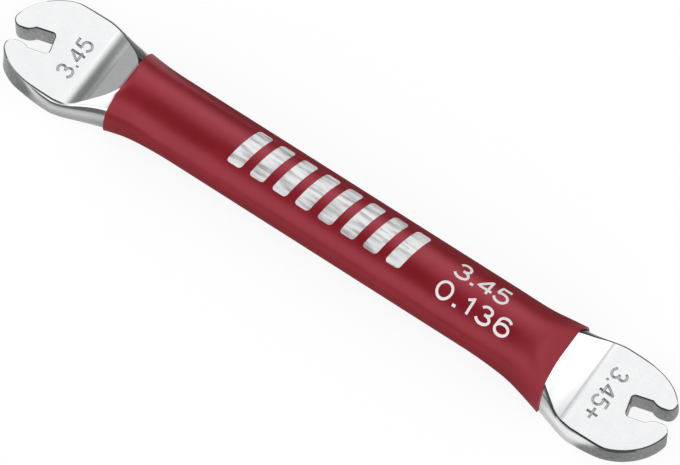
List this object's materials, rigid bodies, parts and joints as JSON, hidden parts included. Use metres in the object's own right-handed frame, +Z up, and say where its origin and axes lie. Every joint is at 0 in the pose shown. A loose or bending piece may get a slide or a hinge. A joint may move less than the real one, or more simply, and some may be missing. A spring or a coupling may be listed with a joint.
{
  "type": "spoke wrench",
  "caption": "Slim double-ended spoke wrench: a forged steel bar with a stepped open jaw milled into each flat head, and a thin shrunk vinyl sleeve over the handle.",
  "frame": {"origin": "middle of the wrench, on the plane that it lies on", "axes": "+X along the handle to the right head, +Y to the far side, +Z up from the undersides of the heads"},
  "size_m": [0.1176, 0.0172, 0.0107],
  "materials": {
    "steel": "chrome plated, milled faces a little satin",
    "sleeve": "shrunk vinyl with a soft sheen",
    "print": "pale silver ink",
    "stamp": "stamped grooves"
  },
  "bodies": {
    "root": {"wrench_body": "steel", "grip_sleeve": "sleeve"}
  },
  "joints": []
}
